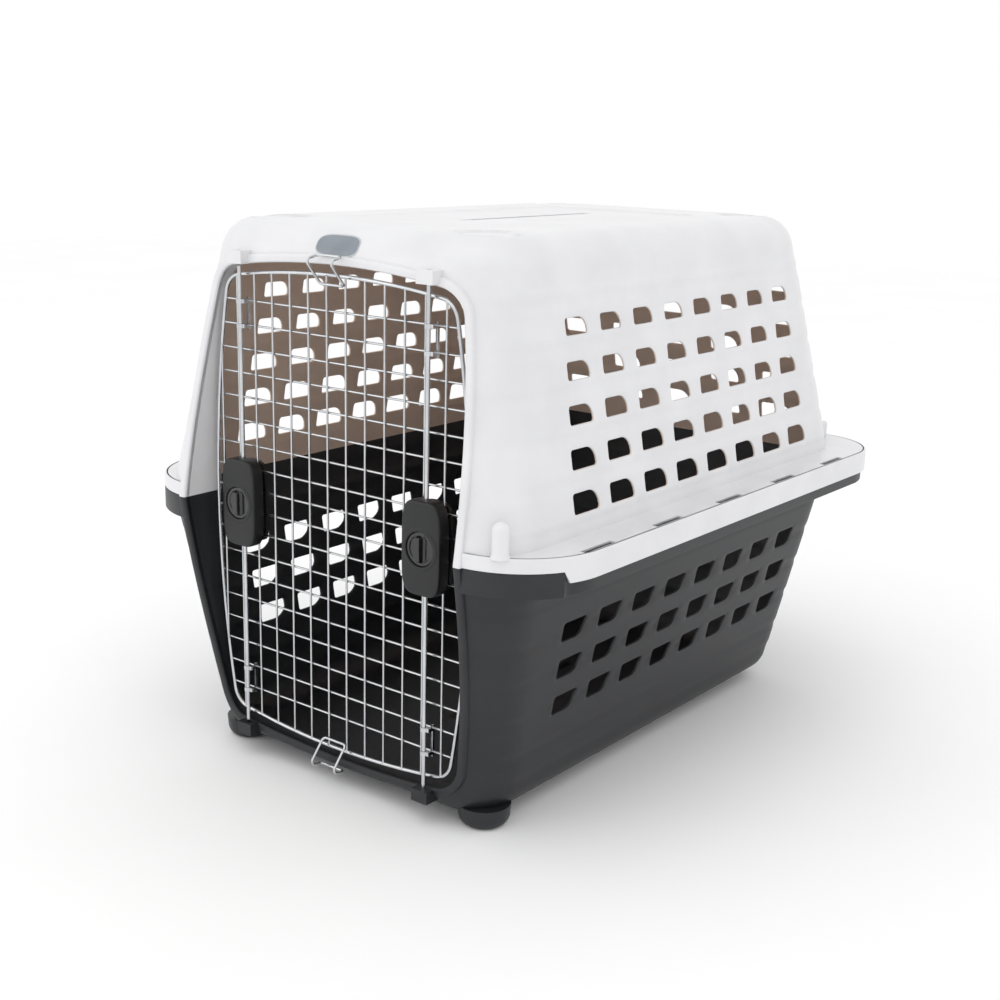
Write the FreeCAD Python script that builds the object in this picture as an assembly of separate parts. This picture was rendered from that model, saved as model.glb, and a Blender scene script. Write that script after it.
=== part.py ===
"""Pet transport carrier: two drafted plastic tubs, a wire door and two rack-and-pinion dial latches.

Frame, in millimetres: +Z up, the door faces -Y, +X is on the right of someone looking at the door.
The origin is on the floor, under the middle of the carrier.
"""
import FreeCAD
import Part
import math
import os
from FreeCAD import Vector

# ---- overall sizes ------------------------------------------------------------------------------
LENGTH = 735.0              # door rim to rear flange
WIDTH = 560.0               # over the side flanges
HEIGHT = 578.0              # floor to roof
PARTING_Z = 286.0           # plane where the two tubs meet
WALL = 3.0                  # moulded wall
FLANGE = 40.0               # flange width outside the tub wall, sides and rear
SIDE_DRAFT = 10.0           # degrees, side and rear walls
FRONT_DRAFT = 7.8           # degrees, front wall
CORNER_R = 56.0             # upright corners of the tubs, and so the width of the door posts
ROOF_EDGE_R = 40.0
FLOOR_EDGE_R = 30.0
FOOT_H = 12.0
FOOT_R = 27.0
FOOT_SINK = 12.0            # how far a foot reaches up into the rounded floor edge
FOOT_FRONT = 72.0           # front feet behind the front wall
FOOT_REAR = 120.0           # rear feet ahead of the rear wall
FOOT_SIDE = 71.0            # front feet inboard of the side walls
FOOT_REAR_SIDE = 120.0      # rear feet inboard of the side walls

# ---- doorway and its rim ------------------------------------------------------------------------
HEADER = 37.0               # roof above the doorway arch
SILL = 19.0                 # floor to the middle of the doorway's lower edge
DOORWAY_BOW_X = 24.0        # how much the doorway sides bow out between their ends
DOORWAY_BOW_Z = 13.0        # how much its top and bottom edges bow
DOORWAY_CORNER_R = 32.0
RIM_W = 9.0                 # bead round the doorway
RIM_PROUD = 3.5
JAMB_BACK = 12.0            # the jamb ends this far behind the door plane

# ---- flange, skirt and snap tabs ----------------------------------------------------------------
FLANGE_FRONT_R = 95.0
FLANGE_REAR_R = 80.0
FLANGE_TOP = 14.0           # upper flange's top face above the parting plane
SKIRT_DROP = 11.0           # skirt's lower edge below the parting plane
LIP_DROP = 24.0             # lower flange's lip below the parting plane
SKIRT_GAP = 1.0             # between the skirt and the lower lip
SKIRT_STEP = 57.0           # the skirt is full depth from here back
TABS_PER_SIDE = 5
TAB_PITCH = 121.7
TAB_LENGTH = 46.0
TAB_T = 4.0
TAB_BELOW_TOP = 1.0
SLOT_GAP = 1.5              # all round a tab
SLOT_EDGE = 4.5             # slot to the flange's outer edge
FINGER_R = 8.0              # upright boss on the right front corner of the flange
FINGER_H = 36.0
BLOCK_X = 190.0 / 280.0     # rear flange blocks, as a share of the half width
BLOCK_W = 30.0
BLOCK_H = 20.0
BLOCK_EDGE = 14.0
DISH_R = 30.0               # stacking recesses in the roof
DISH_DEPTH = 2.0
DISH_EDGE = 16.0

# ---- vents --------------------------------------------------------------------------------------
VENT_COLUMNS = 8
VENT_FRONT = 117.0          # front wall to the first vent of the lowest upper row
VENT_REAR = 98.0            # rear wall to the last vent
VENT_ROW_PITCH = 41.4
VENT_SILL = 33.5            # lowest upper row above the parting plane
VENT_DROP = 76.0            # top of the first lower row below the parting plane
VENT_FLOOR_MARGIN = 8.0
VENT_W = 42.0
VENT_H = 20.0
VENT_W_STEP = 1.75          # each row further from the parting plane is shorter and lower by this
VENT_H_STEP = 1.0
VENT_LOWER_W = 38.0
VENT_ROW_SHIFT = 4.2
REAR_VENT_COLUMNS = 5
REAR_VENT_MARGIN = 70.0

# ---- door ---------------------------------------------------------------------------------------
DOOR_SETBACK = 40.0         # door plane behind the front of the rim
DOOR_GAP = 8.0              # clear gap between the door frame and the doorway
FRAME_WIRE_R = 2.0
MESH_WIRE_R = 1.1
WELD_SINK = 0.15            # how far crossing wires are pressed into each other, each
MESH_PITCH_X = 25.4
MESH_SHIFT_X = -10.2
MESH_EDGE_X = 8.0           # nearest upright wire to the frame
MESH_PITCH_Z = 25.1
MESH_FINE_Z = 22.9          # pitch of the three cells behind the latches
MESH_EDGE_Z = 20.0
HOOK_WIRE_R = 1.4
HOOK_HALF_W = 16.0
HOOK_REACH = 24.0           # how far the hooks stand ahead of the door plane
HOOK_INSET = 9.0            # inner bar of a hook from the frame wire
HOOK_OVER = 9.0             # outer bar of a hook beyond the doorway edge
HOOK_BEND_R = 4.0

# ---- latch rods and their sockets ---------------------------------------------------------------
ROD_R = 2.1
ROD_INSET = 58.0            # rod axis from the widest point of the doorway
ROD_AHEAD = 7.75            # rod axis ahead of the door plane
ROD_ENGAGE = 8.0            # rod inside its socket when latched
RUNNING = 0.07              # radial clearance of rods and shafts
SOCKET_HALF_W = 10.0
SOCKET_AHEAD = 7.0          # socket boss ahead of the rod axis
SOCKET_CAP = 4.0
SOCKET_END_GAP = 2.0
GUIDE_RING_R = 4.0
GUIDE_RING_T = 4.0
GUIDE_HALF_T = 1.25         # half the thickness of a guide's strip
GUIDE_SIDE = 5.5            # guide strip beside its rod

# ---- latch housing ------------------------------------------------------------------------------
HOUSING_HALF_W = 24.0
HOUSING_HALF_H = 46.5
HOUSING_BOW_X = 2.5
HOUSING_BOW_Z = 6.0
HOUSING_CORNER_R = 8.0
HOUSING_FRONT = 17.0        # ahead of the door plane
HOUSING_BACK = 2.6
HOUSING_EDGE_R = 2.5
CAVITY_HALF_W = 12.0
CAVITY_HALF_H = 31.5
PLATE_T = 2.2               # inner plate that closes the cavity
PLATE_LAND = 5.0            # inner plate past the cavity on each side
PLATE_GAP = 0.2
BACK_PLATE_T = 4.0
BACK_PLATE_INSET = 2.0
SCREW_R = 1.5
SCREW_HEAD_R = 3.0
SCREW_HEAD_H = 2.0
SCREW_BITE = 9.0            # screw tip ahead of the door plane
SCREW_X = 8.0
SCREW_Z = 41.0
WIRE_KEEP_OFF = 4.0         # screws and guide strips from the mesh wires, axis to axis
SCREW_GAP = 0.05

# ---- dial, pinion and racks ---------------------------------------------------------------------
MODULE = 1.25
TEETH = 10
PRESSURE_ANGLE = math.radians(30.0)
ADDENDUM = 0.8 * MODULE
DEDENDUM = 1.0 * MODULE
BACKLASH = 0.5
PITCH_R = MODULE * TEETH / 2.0
DIAL_TURN = math.radians(90.0)
TRAVEL = PITCH_R * DIAL_TURN
FLANK_POINTS = 4
MECH_T = 5.7                # thickness of pinion and racks
MECH_GAP_BACK = 0.1
MECH_GAP_FRONT = 0.3
RACK_BACK = 3.5             # solid back of a rack behind its tooth roots
RACK_TAIL = 7.0             # rack past the dial centre when latched
FOOT_START = 20.0           # rack's foot from the dial centre when latched
FOOT_LEN = 8.0
FOOT_PAST = 4.5             # foot past the rod axis
DIAL_R = 16.7
DIAL_GAP = 0.3
DIAL_T = 2.5
DIAL_WALL = 3.0             # housing wall under the dial
GRIP_W = 7.0
GRIP_L = 27.0
GRIP_H = 4.8
GRIP_END_R = 3.0
SHAFT_R = 3.5
JOURNAL_R = 2.5

# ---- label --------------------------------------------------------------------------------------
LABEL_W = 56.0
LABEL_H = 20.0
LABEL_T = 0.8
LABEL_UP = 19.0             # label centre above the doorway arch

# ---- places worked out from the sizes above -----------------------------------------------------
FRONT_Y = -LENGTH / 2.0 + RIM_PROUD
REAR_Y = LENGTH / 2.0 - FLANGE
HALF_WALL = WIDTH / 2.0 - FLANGE
DOOR_Y = -LENGTH / 2.0 + DOOR_SETBACK
DOORWAY_HALF_W = HALF_WALL - CORNER_R
DOORWAY_END_W = DOORWAY_HALF_W - DOORWAY_BOW_X
DOORWAY_TOP = HEIGHT - HEADER
DOORWAY_BOTTOM = FOOT_H + SILL
ROD_X = DOORWAY_HALF_W - ROD_INSET
ROD_Y = DOOR_Y - ROD_AHEAD
DIAL_Z = PARTING_Z
PLATE_FRONT_Y = DOOR_Y - HOUSING_BACK - PLATE_T
MECH_BACK_Y = PLATE_FRONT_Y - MECH_GAP_BACK
MECH_FRONT_Y = MECH_BACK_Y - MECH_T
CAVITY_FRONT_Y = MECH_FRONT_Y - MECH_GAP_FRONT
DIAL_SEAT_Y = CAVITY_FRONT_Y - DIAL_WALL
FAR = 2.0 * max(LENGTH, WIDTH, HEIGHT)      # longer than anything it cuts


def box(x0, x1, y0, y1, z0, z1):
    """A block between two opposite corners."""
    return Part.makeBox(x1 - x0, y1 - y0, z1 - z0, Vector(x0, y0, z0))


def cylinder_y(x, z, y0, y1, radius):
    """A round bar along Y."""
    return Part.makeCylinder(radius, y1 - y0, Vector(x, y0, z), Vector(0, 1, 0))


def cylinder_z(x, y, z0, z1, radius):
    """A round bar along Z."""
    return Part.makeCylinder(radius, z1 - z0, Vector(x, y, z0), Vector(0, 0, 1))


def rounded_rectangle(half_x, y0, y1, r_front, r_rear, z):
    """A closed level wire with its own corner radius at the front and at the rear."""
    front = [(half_x - r_front, y0), (half_x, y0 + r_front)]
    rear = [(half_x, y1 - r_rear), (half_x - r_rear, y1)]
    k = 1.0 - math.sqrt(0.5)
    front_mid = (half_x - k * r_front, y0 + k * r_front)
    rear_mid = (half_x - k * r_rear, y1 - k * r_rear)

    def at(point, side=1.0):
        return Vector(side * point[0], point[1], z)

    edges = [
        Part.Arc(at(front[0]), at(front_mid), at(front[1])).toShape(),
        Part.LineSegment(at(front[1]), at(rear[0])).toShape(),
        Part.Arc(at(rear[0]), at(rear_mid), at(rear[1])).toShape(),
        Part.LineSegment(at(rear[1]), at(rear[1], -1)).toShape(),
        Part.Arc(at(rear[1], -1), at(rear_mid, -1), at(rear[0], -1)).toShape(),
        Part.LineSegment(at(rear[0], -1), at(front[1], -1)).toShape(),
        Part.Arc(at(front[1], -1), at(front_mid, -1), at(front[0], -1)).toShape(),
        Part.LineSegment(at(front[0], -1), at(front[0])).toShape(),
    ]
    return Part.Wire(edges)


def wall_half_x(z):
    """Half width over the tub walls at a height."""
    return HALF_WALL - abs(z - PARTING_Z) * math.tan(math.radians(SIDE_DRAFT))


def wall_front_y(z):
    """Outer face of the front wall at a height."""
    return FRONT_Y + abs(z - PARTING_Z) * math.tan(math.radians(FRONT_DRAFT))


def wall_rear_y(z):
    """Outer face of the rear wall at a height."""
    return REAR_Y - abs(z - PARTING_Z) * math.tan(math.radians(SIDE_DRAFT))


def tub_section(z, inset):
    """Outline of a tub at a height, moved inward."""
    radius = CORNER_R - inset
    y0 = wall_front_y(z) + inset
    y1 = wall_rear_y(z) - inset
    return rounded_rectangle(wall_half_x(z) - inset, y0, y1, radius, radius, z)


def tub(z_end, edge_r, inset):
    """The solid inside a tub's skin: drafted walls from the parting plane to a rounded end."""
    z_end = z_end - math.copysign(inset, z_end - PARTING_Z)
    sections = [tub_section(PARTING_Z, inset), tub_section(z_end, inset)]
    solid = Part.makeLoft(sections, True, True)
    end_edges = [e for e in solid.Edges if abs(e.BoundBox.ZMin - z_end) + abs(e.BoundBox.ZMax - z_end) < 0.01]
    return solid.makeFillet(edge_r - inset, end_edges)


def bowed_outline(mid_half, end_half, z_low, z_mid, z_high, bow_z, corner_r, grow, x=0.0):
    """A closed outline in the XZ plane with four bowed edges and rounded corners, grown outward."""
    low = z_low + bow_z
    high = z_high - bow_z

    def at(px, pz):
        return Vector(px, pz, 0)

    edges = [
        Part.Arc(at(end_half, low), at(mid_half, z_mid), at(end_half, high)).toShape(),
        Part.Arc(at(end_half, high), at(0, z_high), at(-end_half, high)).toShape(),
        Part.Arc(at(-end_half, high), at(-mid_half, z_mid), at(-end_half, low)).toShape(),
        Part.Arc(at(-end_half, low), at(0, z_low), at(end_half, low)).toShape(),
    ]
    wire = Part.Wire(edges).makeOffset2D(-corner_r)
    wire = wire.makeOffset2D(corner_r + grow)
    wire.rotate(Vector(0, 0, 0), Vector(1, 0, 0), 90)
    wire.translate(Vector(x, 0, 0))
    return wire


def doorway_outline(grow):
    """The doorway's edge, grown outward (or inward when negative)."""
    return bowed_outline(DOORWAY_HALF_W, DOORWAY_END_W, DOORWAY_BOTTOM, PARTING_Z, DOORWAY_TOP,
                         DOORWAY_BOW_Z, DOORWAY_CORNER_R, grow)


def prism_y(wire, y0, y1):
    """An XZ outline drawn out along Y between two planes."""
    face = Part.Face(wire)
    face.translate(Vector(0, y0 - face.BoundBox.YMin, 0))
    return face.extrude(Vector(0, y1 - y0, 0))


def prism_z(wire, height):
    """A level outline drawn up."""
    return Part.Face(wire).extrude(Vector(0, 0, height))


def arch_z(x, upper):
    """Height of the doorway's upper or lower edge at x."""
    drop = DOORWAY_BOW_Z * (x / DOORWAY_END_W) ** 2
    return DOORWAY_TOP - drop if upper else DOORWAY_BOTTOM + drop


def doorway_parts(outer, inner):
    """Jamb and rim of the doorway, inside and on the front of one tub."""
    jamb = prism_y(doorway_outline(WALL), -LENGTH / 2.0, DOOR_Y + JAMB_BACK).common(outer)
    rim = prism_y(doorway_outline(RIM_W), -LENGTH / 2.0 - RIM_PROUD, DOOR_Y)
    proud = outer.copy()
    proud.translate(Vector(0, -RIM_PROUD, 0))
    return [jamb, rim.common(proud).cut(inner)]


def doorway_cutter():
    """Everything inside the doorway's edge."""
    return prism_y(doorway_outline(0.0), -LENGTH, DOOR_Y + 2.0 * JAMB_BACK)


def socket_bosses(upper):
    """The two bosses that carry the rod sockets, above or below the doorway."""
    bosses = []
    for side in (-1, 1):
        x = side * ROD_X
        edge = arch_z(ROD_X, upper)
        reach = ROD_ENGAGE + SOCKET_END_GAP + SOCKET_CAP
        z0, z1 = (edge - 2.0 * WALL, edge + reach) if upper else (edge - reach, edge + 2.0 * WALL)
        bosses.append(box(x - SOCKET_HALF_W, x + SOCKET_HALF_W, ROD_Y - SOCKET_AHEAD, DOOR_Y + WALL, z0, z1))
    return bosses


def socket_holes(upper):
    """The bores the rod ends slide into."""
    depth = ROD_ENGAGE + SOCKET_END_GAP
    holes = []
    for side in (-1, 1):
        edge = arch_z(ROD_X, upper)
        z0, z1 = (edge - 4.0 * WALL, edge + depth) if upper else (edge - depth, edge + 4.0 * WALL)
        holes.append(cylinder_z(side * ROD_X, ROD_Y, z0, z1, ROD_R + RUNNING))
    return holes


def vent_outline(y, z, w, h, direction):
    """One vent in the YZ plane: a rectangle with its rear corner on the far side swept round."""
    sweep = 0.8 * h
    far = z + direction * h
    k = sweep * (1.0 - math.sqrt(0.5))
    points = [(y, z), (y + w, z), (y + w, far - direction * sweep)]
    edges = [Part.LineSegment(Vector(0, *a), Vector(0, *b)).toShape() for a, b in zip(points, points[1:])]
    arc_end = Vector(0, y + w - sweep, far)
    arc_mid = Vector(0, y + w - k, far - direction * k)
    edges.append(Part.Arc(Vector(0, *points[-1]), arc_mid, arc_end).toShape())
    edges.append(Part.LineSegment(arc_end, Vector(0, y, far)).toShape())
    edges.append(Part.LineSegment(Vector(0, y, far), Vector(0, y, z)).toShape())
    return Part.Wire(edges)


def vent_rows(upper):
    """Each row of vents as start y, column pitch, height z, width, depth and direction."""
    rows = []
    if upper:
        room = HEIGHT - ROOF_EDGE_R - PARTING_Z - VENT_SILL
    else:
        room = PARTING_Z - FOOT_H - FLOOR_EDGE_R - VENT_DROP - VENT_FLOOR_MARGIN
    for row in range(int(room / VENT_ROW_PITCH)):
        y0 = FRONT_Y + VENT_FRONT + row * VENT_ROW_SHIFT
        y1 = REAR_Y - VENT_REAR - row * VENT_ROW_SHIFT
        w = VENT_W - row * VENT_W_STEP if upper else VENT_LOWER_W
        h = VENT_H - row * VENT_H_STEP if upper else VENT_H
        if upper:
            z = PARTING_Z + VENT_SILL + row * VENT_ROW_PITCH
        else:
            z = PARTING_Z - VENT_DROP - row * VENT_ROW_PITCH
        rows.append((y0, (y1 - y0 - w) / (VENT_COLUMNS - 1), z, w, h, 1 if upper else -1))
    return rows


def vent_cutters(upper):
    """Vents through both side walls, and through the rear wall of the upper tub."""
    cutters = []
    for y0, pitch, z, w, h, direction in vent_rows(upper):
        for column in range(VENT_COLUMNS):
            wire = vent_outline(y0 + column * pitch, z, w, h, direction)
            face = Part.Face(wire)
            face.translate(Vector(-WIDTH, 0, 0))
            cutters.append(face.extrude(Vector(2.0 * WIDTH, 0, 0)))
        if not upper:
            continue
        room = 2.0 * (HALF_WALL - REAR_VENT_MARGIN) - w
        for column in range(REAR_VENT_COLUMNS):
            x = -room / 2.0 + column * room / (REAR_VENT_COLUMNS - 1) - w / 2.0
            face = Part.Face(vent_outline(x, z, w, h, direction))
            face.rotate(Vector(0, 0, 0), Vector(0, 0, 1), -90)
            face.translate(Vector(0, REAR_Y - CORNER_R, 0))
            cutters.append(face.mirror(Vector(0, 0, 0), Vector(1, 0, 0)).extrude(Vector(0, LENGTH, 0)))
    return cutters


def flange_prism(inset, z0, z1):
    """The flange's outline, moved inward, between two heights."""
    wire = rounded_rectangle(WIDTH / 2.0 - inset, FRONT_Y + inset, LENGTH / 2.0 - inset,
                             FLANGE_FRONT_R - inset, FLANGE_REAR_R - inset, z0)
    return prism_z(wire, z1 - z0)


def flange_ring(inset, thickness, z0, z1):
    """An upright band that follows the flange's outline."""
    return flange_prism(inset, z0, z1).cut(flange_prism(inset + thickness, z0, z1))


def front_zone(limit):
    """Everything ahead of a distance behind the front wall."""
    return box(-WIDTH, WIDTH, -LENGTH, FRONT_Y + limit, -HEIGHT, HEIGHT + FAR)


def tab_boxes(grow, z0, z1):
    """The snap tabs, or the slots for them when grown, along both side flanges."""
    boxes = []
    outer = WIDTH / 2.0 - SLOT_EDGE - SLOT_GAP
    for index in range(TABS_PER_SIDE):
        y = (FRONT_Y + REAR_Y) / 2.0 + (index - (TABS_PER_SIDE - 1) / 2.0) * TAB_PITCH
        y0, y1 = y - TAB_LENGTH / 2.0 - grow, y + TAB_LENGTH / 2.0 + grow
        boxes.append(box(outer - TAB_T - grow, outer + grow, y0, y1, z0, z1))
        boxes.append(box(-outer - grow, -outer + TAB_T + grow, y0, y1, z0, z1))
    return boxes


def finger_boss():
    """Upright round-topped boss on the right front corner of the upper flange."""
    base = PARTING_Z + FLANGE_TOP - WALL
    reach = (CORNER_R + FINGER_R / 2.0) * math.sqrt(0.5)
    x = HALF_WALL - CORNER_R + reach
    y = FRONT_Y + CORNER_R - reach
    top = base + FINGER_H - FINGER_R
    return [cylinder_z(x, y, base, top, FINGER_R), Part.makeSphere(FINGER_R, Vector(x, y, top))]


def rear_blocks():
    """Blocks on the rear flange that back the closure."""
    z0 = PARTING_Z + FLANGE_TOP - WALL
    blocks = []
    for side in (-1, 1):
        x = side * WIDTH / 2.0 * BLOCK_X
        y1 = LENGTH / 2.0 - BLOCK_EDGE
        blocks.append(box(x - BLOCK_W / 2.0, x + BLOCK_W / 2.0, REAR_Y - FLANGE, y1, z0, z0 + WALL + BLOCK_H))
    return blocks


def roof_dishes():
    """Round recesses near the roof corners that locate a carrier stacked on top."""
    x = wall_half_x(HEIGHT) - ROOF_EDGE_R - DISH_EDGE
    y0 = wall_front_y(HEIGHT) + ROOF_EDGE_R + DISH_EDGE
    y1 = wall_rear_y(HEIGHT) - ROOF_EDGE_R - DISH_EDGE
    return [cylinder_z(side * x, y, HEIGHT - DISH_DEPTH, HEIGHT + WALL, DISH_R)
            for side in (-1, 1) for y in (y0, y1)]


def top_shell():
    """Upper tub with its flange, skirt, rod sockets, bosses and vents."""
    outer = tub(HEIGHT, ROOF_EDGE_R, 0.0)
    inner = tub(HEIGHT, ROOF_EDGE_R, WALL)
    flange = flange_prism(0.0, PARTING_Z + FLANGE_TOP - WALL, PARTING_Z + FLANGE_TOP)
    skirt = flange_ring(0.0, WALL, PARTING_Z - SKIRT_DROP, PARTING_Z + FLANGE_TOP)
    below = box(-WIDTH, WIDTH, -LENGTH, FRONT_Y + SKIRT_STEP, -HEIGHT, PARTING_Z)
    added = [flange, skirt.cut(below)] + finger_boss() + rear_blocks()
    shell = outer.fuse(added).cut(inner)
    shell = shell.fuse(doorway_parts(outer, inner) + socket_bosses(True)).removeSplitter()
    slots = tab_boxes(SLOT_GAP, PARTING_Z, PARTING_Z + FLANGE_TOP + WALL)
    cutters = [doorway_cutter()] + socket_holes(True) + vent_cutters(True) + slots + roof_dishes()
    return shell.cut(cutters)


def feet():
    """Four round moulded feet."""
    places = [(HALF_WALL - FOOT_SIDE, FRONT_Y + FOOT_FRONT), (HALF_WALL - FOOT_REAR_SIDE, REAR_Y - FOOT_REAR)]
    return [cylinder_z(side * x, y, 0.0, FOOT_H + FOOT_SINK, FOOT_R) for side in (-1, 1) for x, y in places]


def bottom_shell():
    """Lower tub with its flange, lip, snap tabs, rod sockets, feet and vents."""
    outer = tub(FOOT_H, FLOOR_EDGE_R, 0.0)
    inner = tub(FOOT_H, FLOOR_EDGE_R, WALL)
    inset = WALL + SKIRT_GAP
    plate_z = PARTING_Z - WALL
    lip_z = PARTING_Z - LIP_DROP
    front = front_zone(SKIRT_STEP - SKIRT_GAP)
    added = [
        flange_prism(inset, plate_z, PARTING_Z),
        flange_ring(inset, WALL, lip_z, PARTING_Z),
        flange_prism(0.0, plate_z, PARTING_Z).common(front),
        flange_ring(0.0, inset + WALL, lip_z, PARTING_Z).common(front),
    ]
    shell = outer.fuse(added + feet()).cut(inner)
    tabs = tab_boxes(0.0, plate_z, PARTING_Z + FLANGE_TOP - TAB_BELOW_TOP)
    shell = shell.fuse(doorway_parts(outer, inner) + socket_bosses(False) + tabs).removeSplitter()
    return shell.cut([doorway_cutter()] + socket_holes(False) + vent_cutters(False))


def front_label():
    """A plain pill-shaped label that follows the rounded header."""
    z = DOORWAY_TOP + LABEL_UP
    half = (LABEL_W - LABEL_H) / 2.0
    y0 = FRONT_Y - FLANGE
    y1 = wall_front_y(HEIGHT) + ROOF_EDGE_R
    pill = box(-half, half, y0, y1, z - LABEL_H / 2.0, z + LABEL_H / 2.0)
    pill = pill.fuse([cylinder_y(side * half, z, y0, y1, LABEL_H / 2.0) for side in (-1, 1)]).removeSplitter()
    outer = tub(HEIGHT, ROOF_EDGE_R, 0.0)
    proud = outer.copy()
    proud.translate(Vector(0, -LABEL_T, 0))
    return pill.common(proud).cut(outer)


def wire_sweep(path, radius):
    """A round wire along a path of straight and tangent round edges."""
    start = path.OrderedEdges[0]
    point = start.valueAt(start.FirstParameter)
    tangent = start.tangentAt(start.FirstParameter)
    profile = Part.Wire([Part.makeCircle(radius, point, tangent)])
    return Part.Wire(path.OrderedEdges).makePipeShell([profile], True, False)


def door_outline():
    """Centre line of the door's frame wire, at the door plane."""
    wire = doorway_outline(-(DOOR_GAP + FRAME_WIRE_R))
    wire.translate(Vector(0, DOOR_Y, 0))
    return wire


def door_frame_wire():
    """The heavy wire bent round the edge of the door."""
    return wire_sweep(door_outline(), FRAME_WIRE_R)


def upright_wires_x():
    """Places of the upright mesh wires across the door."""
    limit = DOORWAY_HALF_W - DOOR_GAP - FRAME_WIRE_R - MESH_EDGE_X
    count = int(2.0 * limit / MESH_PITCH_X) + 2
    places = [MESH_SHIFT_X + index * MESH_PITCH_X for index in range(-count, count + 1)]
    return [x for x in places if abs(x) <= limit]


def level_wires_z():
    """Heights of the level mesh wires: three fine cells at the latches, then the coarse pitch."""
    top = DOORWAY_TOP - DOOR_GAP - MESH_EDGE_Z
    bottom = DOORWAY_BOTTOM + DOOR_GAP + MESH_EDGE_Z
    step = MESH_FINE_Z / 2.0
    heights = []
    while PARTING_Z + step < top or PARTING_Z - step > bottom:
        heights += [z for z in (PARTING_Z + step, PARTING_Z - step) if bottom < z < top]
        step += MESH_FINE_Z if step < MESH_FINE_Z else MESH_PITCH_Z
    return sorted(heights)


def spans_inside_frame(lines):
    """The part of each straight line that lies inside the frame wire's centre line."""
    face = Part.Face(door_outline())
    return [face.common(line).Edges[0].BoundBox for line in lines]


def door_vertical_wires():
    """Upright mesh wires, welded to the front of the level ones."""
    y = DOOR_Y - MESH_WIRE_R + WELD_SINK
    places = upright_wires_x()
    lines = [Part.makeLine(Vector(x, DOOR_Y, -FAR), Vector(x, DOOR_Y, FAR)) for x in places]
    wires = [cylinder_z(x, y, span.ZMin, span.ZMax, MESH_WIRE_R)
             for x, span in zip(places, spans_inside_frame(lines))]
    return Part.makeCompound(wires)


def door_horizontal_wires():
    """Level mesh wires."""
    y = DOOR_Y + MESH_WIRE_R - WELD_SINK
    places = level_wires_z()
    lines = [Part.makeLine(Vector(-FAR, DOOR_Y, z), Vector(FAR, DOOR_Y, z)) for z in places]
    wires = [Part.makeCylinder(MESH_WIRE_R, span.XLength, Vector(span.XMin, y, z), Vector(1, 0, 0))
             for z, span in zip(places, spans_inside_frame(lines))]
    return Part.makeCompound(wires)


def bent_wire(points, bend_r, radius):
    """A round wire through points, each inner point rounded by a tangent arc."""
    edges = []
    last = points[0]
    for before, corner, after in zip(points, points[1:], points[2:]):
        to_before = (before - corner).normalize()
        to_after = (after - corner).normalize()
        half = to_before.getAngle(to_after) / 2.0
        cut = bend_r / math.tan(half)
        start = corner + to_before * cut
        end = corner + to_after * cut
        bisector = (to_before + to_after).normalize()
        middle = corner + bisector * (bend_r / math.sin(half) - bend_r)
        edges.append(Part.makeLine(last, start))
        edges.append(Part.Arc(start, middle, end).toShape())
        last = end
    edges.append(Part.makeLine(last, points[-1]))
    return wire_sweep(Part.Wire(edges), radius)


def hook(upper):
    """A bent wire clip: welded across the mesh, it reaches forward and over the doorway's edge."""
    sign = 1.0 if upper else -1.0
    edge = DOORWAY_TOP if upper else DOORWAY_BOTTOM
    inner_z = edge - sign * (DOOR_GAP + FRAME_WIRE_R + HOOK_INSET)
    outer_z = edge + sign * HOOK_OVER
    inner_y = DOOR_Y - 2.0 * MESH_WIRE_R - HOOK_WIRE_R + 2.0 * WELD_SINK
    outer_y = wall_front_y(edge) - RIM_PROUD - HOOK_WIRE_R - DIAL_GAP
    knee_y = DOOR_Y - HOOK_REACH
    knee_z = edge + sign * (HOOK_OVER - WALL)
    right = [
        Vector(0, inner_y, inner_z),
        Vector(HOOK_HALF_W, inner_y, inner_z),
        Vector(HOOK_HALF_W, knee_y, knee_z),
        Vector(HOOK_HALF_W, outer_y, outer_z),
        Vector(0, outer_y, outer_z),
    ]
    half = bent_wire(right, HOOK_BEND_R, HOOK_WIRE_R)
    other = half.mirror(Vector(0, 0, 0), Vector(1, 0, 0))
    return half.fuse(other).removeSplitter()


def guide_spans():
    """The two level cells, near the door's top and bottom, that the rod guides bridge."""
    heights = level_wires_z()
    return [(heights[0], heights[1]), (heights[-2], heights[-1])]


def keep_off_wires(value, places):
    """The nearest value that leaves room beside every wire."""
    for place in places:
        if abs(value - place) < WIRE_KEEP_OFF:
            return place + math.copysign(WIRE_KEEP_OFF, value - place)
    return value


def rod_guide(x, z0, z1):
    """One guide: an upright strip across two level wires with an eye round the rod at each end."""
    bar_x = keep_off_wires(x + GUIDE_SIDE, upright_wires_x())
    front_y = DOOR_Y - 2.0 * GUIDE_HALF_T
    shapes = [box(bar_x - GUIDE_HALF_T, bar_x + GUIDE_HALF_T, front_y, DOOR_Y + WELD_SINK,
                  z0 - GUIDE_RING_T, z1 + GUIDE_RING_T)]
    for z in (z0, z1):
        low = z - GUIDE_RING_T / 2.0
        high = z + GUIDE_RING_T / 2.0
        shapes.append(cylinder_z(x, ROD_Y, low, high, GUIDE_RING_R))
        shapes.append(box(x, bar_x + GUIDE_HALF_T, ROD_Y - GUIDE_HALF_T, ROD_Y + GUIDE_HALF_T, low, high))
        shapes.append(box(bar_x - GUIDE_HALF_T, bar_x + GUIDE_HALF_T, ROD_Y, DOOR_Y - GUIDE_HALF_T, low, high))
    guide = shapes[0].fuse(shapes[1:]).removeSplitter()
    hole = cylinder_z(x, ROD_Y, z0 - GUIDE_RING_T, z1 + GUIDE_RING_T, ROD_R + RUNNING)
    return guide.cut(hole)


def rod_guides():
    """Four guides that hold the rods to the door."""
    return Part.makeCompound([rod_guide(side * ROD_X, z0, z1) for side in (-1, 1) for z0, z1 in guide_spans()])


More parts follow.
